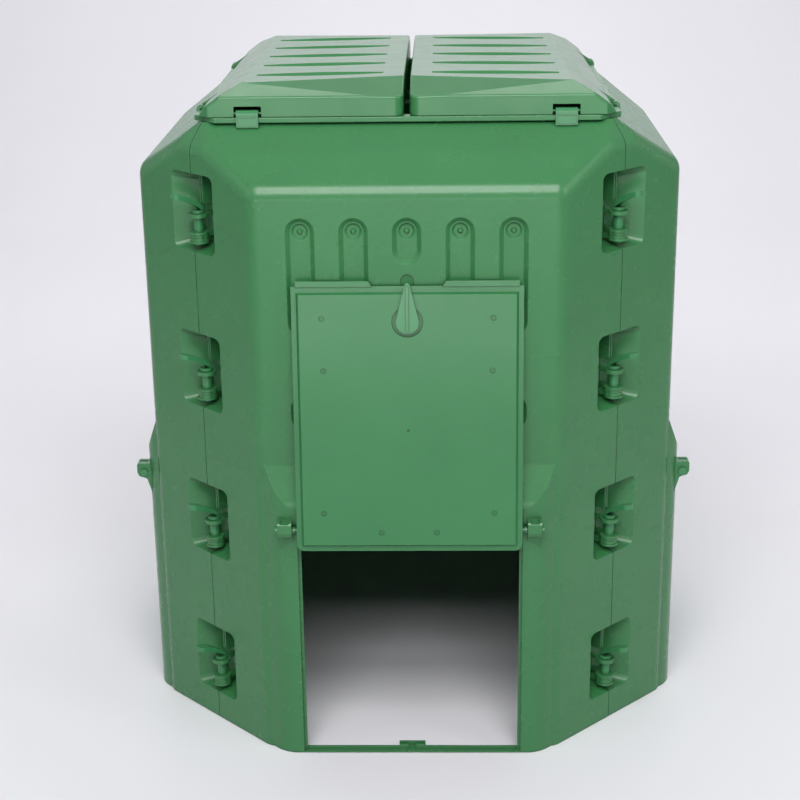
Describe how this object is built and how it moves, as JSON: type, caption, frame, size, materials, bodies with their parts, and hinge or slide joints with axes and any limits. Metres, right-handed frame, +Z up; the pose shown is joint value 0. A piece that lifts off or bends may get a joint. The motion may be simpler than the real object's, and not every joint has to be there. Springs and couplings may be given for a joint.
{
  "type": "compost bin",
  "caption": "Octagonal garden compost bin of pinned moulded walls with a split hinged lid and swing-up removal flaps low on each side.",
  "frame": {"origin": "middle of the open bottom, at ground level", "axes": "+Z up, -Y towards the front wall whose flap stands open, +X to the right when seen from the front"},
  "size_m": [0.835, 0.8423, 0.956],
  "materials": {
    "green_casing": "satin moulded polyethylene",
    "green_lid": "satin moulded polyethylene",
    "green_flap": "satin moulded polyethylene",
    "green_latch": "satin moulded polyethylene",
    "green_pin": "satin moulded polyethylene",
    "green_connector": "satin moulded polyethylene",
    "green_clip": "satin moulded polyethylene"
  },
  "bodies": {
    "bin": {"wall_front": "green_casing", "wall_right": "green_casing", "wall_back": "green_casing", "wall_left": "green_casing", "lid_hinge_ear_right_front": "green_casing", "lid_hinge_ear_right_back": "green_casing", "lid_hinge_ear_left_front": "green_casing", "lid_hinge_ear_left_back": "green_casing", "lid_hinge_pin_right_front": "green_pin", "lid_hinge_pin_right_back": "green_pin", "lid_hinge_pin_left_front": "green_pin", "lid_hinge_pin_left_back": "green_pin"},
    "flap_front_body": {"flap_front": "green_flap", "flap_pin_a_front": "green_pin", "flap_pin_b_front": "green_pin"},
    "latch_front_body": {"flap_latch_front": "green_latch", "latch_knob_front": "green_latch"},
    "flap_right_body": {"flap_right": "green_flap", "flap_pin_a_right": "green_pin", "flap_pin_b_right": "green_pin"},
    "latch_right_body": {"flap_latch_right": "green_latch", "latch_knob_right": "green_latch"},
    "flap_back_body": {"flap_back": "green_flap", "flap_pin_a_back": "green_pin", "flap_pin_b_back": "green_pin"},
    "latch_back_body": {"flap_latch_back": "green_latch", "latch_knob_back": "green_latch"},
    "flap_left_body": {"flap_left": "green_flap", "flap_pin_a_left": "green_pin", "flap_pin_b_left": "green_pin"},
    "latch_left_body": {"flap_latch_left": "green_latch", "latch_knob_left": "green_latch"},
    "connector_front_right_1": {"connector_pin_front_right_1": "green_connector"},
    "connector_front_right_2": {"connector_pin_front_right_2": "green_connector"},
    "connector_front_right_3": {"connector_pin_front_right_3": "green_connector"},
    "connector_front_right_4": {"connector_pin_front_right_4": "green_connector"},
    "connector_back_right_1": {"connector_pin_back_right_1": "green_connector"},
    "connector_back_right_2": {"connector_pin_back_right_2": "green_connector"},
    "connector_back_right_3": {"connector_pin_back_right_3": "green_connector"},
    "connector_back_right_4": {"connector_pin_back_right_4": "green_connector"},
    "connector_back_left_1": {"connector_pin_back_left_1": "green_connector"},
    "connector_back_left_2": {"connector_pin_back_left_2": "green_connector"},
    "connector_back_left_3": {"connector_pin_back_left_3": "green_connector"},
    "connector_back_left_4": {"connector_pin_back_left_4": "green_connector"},
    "connector_front_left_1": {"connector_pin_front_left_1": "green_connector"},
    "connector_front_left_2": {"connector_pin_front_left_2": "green_connector"},
    "connector_front_left_3": {"connector_pin_front_left_3": "green_connector"},
    "connector_front_left_4": {"connector_pin_front_left_4": "green_connector"},
    "lid_right_body": {"lid_right": "green_lid", "clip_pin_right_front": "green_pin", "clip_pin_right_back": "green_pin"},
    "clip_right_front": {"lid_clip_right_front": "green_clip"},
    "clip_right_back": {"lid_clip_right_back": "green_clip"},
    "lid_left_body": {"lid_left": "green_lid", "clip_pin_left_front": "green_pin", "clip_pin_left_back": "green_pin"},
    "clip_left_front": {"lid_clip_left_front": "green_clip"},
    "clip_left_back": {"lid_clip_left_back": "green_clip"}
  },
  "joints": [
    {"name": "flap_front_hinge", "type": "hinge", "parent": "bin", "child": "flap_front_body", "pos_m": [0, -0.407, 0.356], "axis": [1, 0, 0], "range_deg": [0, 185]},
    {"name": "latch_front_turn", "type": "hinge", "parent": "flap_front_body", "child": "latch_front_body", "pos_m": [0, -0.388, 0.65348], "axis": [0, -0.9962, 0.0872], "range_deg": [-90, 90]},
    {"name": "flap_right_hinge", "type": "hinge", "parent": "bin", "child": "flap_right_body", "pos_m": [0.407, 0, 0.356], "axis": [0, -1, 0], "range_deg": [0, 185]},
    {"name": "latch_right_turn", "type": "hinge", "parent": "flap_right_body", "child": "latch_right_body", "pos_m": [0.4, 0, 0.058], "axis": [-1, 0, 0], "range_deg": [-90, 90]},
    {"name": "flap_back_hinge", "type": "hinge", "parent": "bin", "child": "flap_back_body", "pos_m": [0, 0.407, 0.356], "axis": [1, 0, 0], "range_deg": [0, 185]},
    {"name": "latch_back_turn", "type": "hinge", "parent": "flap_back_body", "child": "latch_back_body", "pos_m": [0, 0.4, 0.058], "axis": [0, -1, 0], "range_deg": [-90, 90]},
    {"name": "flap_left_hinge", "type": "hinge", "parent": "bin", "child": "flap_left_body", "pos_m": [-0.407, 0, 0.356], "axis": [0, 1, 0], "range_deg": [0, 185]},
    {"name": "latch_left_turn", "type": "hinge", "parent": "flap_left_body", "child": "latch_left_body", "pos_m": [-0.4, 0, 0.058], "axis": [1, 0, 0], "range_deg": [-90, 90]},
    {"name": "connector_front_right_1_lift", "type": "slide", "parent": "bin", "child": "connector_front_right_1", "axis": [0, 0, 1], "range_m": [0, 0.034]},
    {"name": "connector_front_right_2_lift", "type": "slide", "parent": "bin", "child": "connector_front_right_2", "axis": [0, 0, 1], "range_m": [0, 0.034]},
    {"name": "connector_front_right_3_lift", "type": "slide", "parent": "bin", "child": "connector_front_right_3", "axis": [0, 0, 1], "range_m": [0, 0.034]},
    {"name": "connector_front_right_4_lift", "type": "slide", "parent": "bin", "child": "connector_front_right_4", "axis": [0, 0, 1], "range_m": [0, 0.034]},
    {"name": "connector_back_right_1_lift", "type": "slide", "parent": "bin", "child": "connector_back_right_1", "axis": [0, 0, 1], "range_m": [0, 0.034]},
    {"name": "connector_back_right_2_lift", "type": "slide", "parent": "bin", "child": "connector_back_right_2", "axis": [0, 0, 1], "range_m": [0, 0.034]},
    {"name": "connector_back_right_3_lift", "type": "slide", "parent": "bin", "child": "connector_back_right_3", "axis": [0, 0, 1], "range_m": [0, 0.034]},
    {"name": "connector_back_right_4_lift", "type": "slide", "parent": "bin", "child": "connector_back_right_4", "axis": [0, 0, 1], "range_m": [0, 0.034]},
    {"name": "connector_back_left_1_lift", "type": "slide", "parent": "bin", "child": "connector_back_left_1", "axis": [0, 0, 1], "range_m": [0, 0.034]},
    {"name": "connector_back_left_2_lift", "type": "slide", "parent": "bin", "child": "connector_back_left_2", "axis": [0, 0, 1], "range_m": [0, 0.034]},
    {"name": "connector_back_left_3_lift", "type": "slide", "parent": "bin", "child": "connector_back_left_3", "axis": [0, 0, 1], "range_m": [0, 0.034]},
    {"name": "connector_back_left_4_lift", "type": "slide", "parent": "bin", "child": "connector_back_left_4", "axis": [0, 0, 1], "range_m": [0, 0.034]},
    {"name": "connector_front_left_1_lift", "type": "slide", "parent": "bin", "child": "connector_front_left_1", "axis": [0, 0, 1], "range_m": [0, 0.034]},
    {"name": "connector_front_left_2_lift", "type": "slide", "parent": "bin", "child": "connector_front_left_2", "axis": [0, 0, 1], "range_m": [0, 0.034]},
    {"name": "connector_front_left_3_lift", "type": "slide", "parent": "bin", "child": "connector_front_left_3", "axis": [0, 0, 1], "range_m": [0, 0.034]},
    {"name": "connector_front_left_4_lift", "type": "slide", "parent": "bin", "child": "connector_front_left_4", "axis": [0, 0, 1], "range_m": [0, 0.034]},
    {"name": "lid_right_hinge", "type": "hinge", "parent": "bin", "child": "lid_right_body", "pos_m": [0.287, 0, 0.91], "axis": [0, 1, 0], "range_deg": [0, 135]},
    {"name": "clip_right_front_swing", "type": "hinge", "parent": "lid_right_body", "child": "clip_right_front", "pos_m": [0.215, -0.2855, 0.9163], "axis": [-1, 0, 0], "range_deg": [0, 90]},
    {"name": "clip_right_back_swing", "type": "hinge", "parent": "lid_right_body", "child": "clip_right_back", "pos_m": [0.215, 0.2855, 0.9163], "axis": [1, 0, 0], "range_deg": [0, 90]},
    {"name": "lid_left_hinge", "type": "hinge", "parent": "bin", "child": "lid_left_body", "pos_m": [-0.287, 0, 0.91], "axis": [0, -1, 0], "range_deg": [0, 135]},
    {"name": "clip_left_front_swing", "type": "hinge", "parent": "lid_left_body", "child": "clip_left_front", "pos_m": [-0.215, -0.2855, 0.9163], "axis": [-1, 0, 0], "range_deg": [0, 90]},
    {"name": "clip_left_back_swing", "type": "hinge", "parent": "lid_left_body", "child": "clip_left_back", "pos_m": [-0.215, 0.2855, 0.9163], "axis": [1, 0, 0], "range_deg": [0, 90]}
  ]
}
